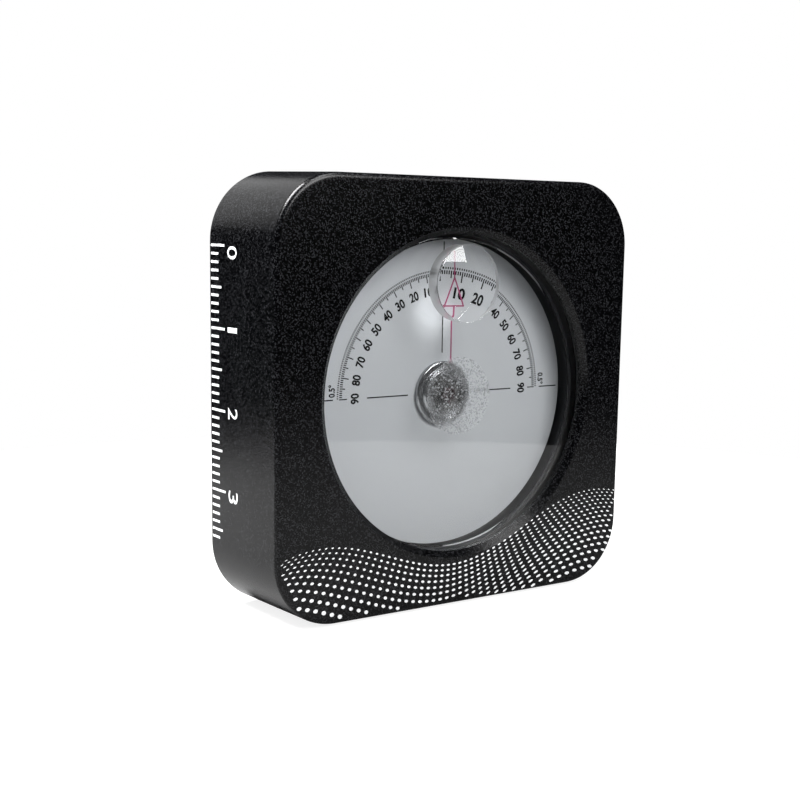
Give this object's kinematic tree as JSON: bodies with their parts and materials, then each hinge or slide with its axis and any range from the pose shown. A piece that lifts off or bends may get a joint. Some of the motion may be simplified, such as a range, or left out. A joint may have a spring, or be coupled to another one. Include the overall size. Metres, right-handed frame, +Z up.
{
  "type": "inclinometer",
  "caption": "Pocket inclinometer: square rounded block with a weighted dial that turns behind a round window, read at a fixed index line under a small magnifier.",
  "frame": {"origin": "centre of the bounding box at the lowest edge of the base, midway between the rear face and the crown of the magnifier", "axes": "+Z up, +X to the right as the dial is read, front face towards -Y; the dial turns about an axis along Y, 0.27 mm below the centre of the round opening"},
  "size_m": [0.0544, 0.0176, 0.0544],
  "materials": {
    "black_coat": "black sand-textured coating with a fine sparkle",
    "black_plastic": "smooth black moulding",
    "clear_plastic": "clear polished acrylic",
    "dial_silver": "satin silver-grey with black print",
    "polished_steel": "turned and polished",
    "brass": "turned, bare",
    "jewel": "polished synthetic stone",
    "rubber": "matte",
    "nickel": "nickel plated"
  },
  "bodies": {
    "case": {"housing": "black_coat", "back_cover": "black_coat", "cover_screw_1": "nickel", "cover_screw_2": "nickel", "cover_screw_3": "nickel", "cover_screw_4": "nickel", "base_magnet_left": "nickel", "base_magnet_right": "nickel", "crystal": "clear_plastic", "magnifier_lens": "clear_plastic", "capsule_gasket": "rubber", "capsule_cup": "black_plastic", "filler_plug": "brass", "cushion_ring": "rubber", "front_jewel": "jewel", "rear_jewel": "jewel"},
    "dial": {"dial_disc": "dial_silver", "dial_hub": "polished_steel", "hub_collar": "brass", "pivot_staff": "polished_steel", "balance_weight": "brass"}
  },
  "joints": [
    {"name": "dial_swing", "type": "hinge", "parent": "case", "child": "dial", "pos_m": [0, 0, 0.02693], "axis": [0, -1, 0], "continuous": true}
  ]
}
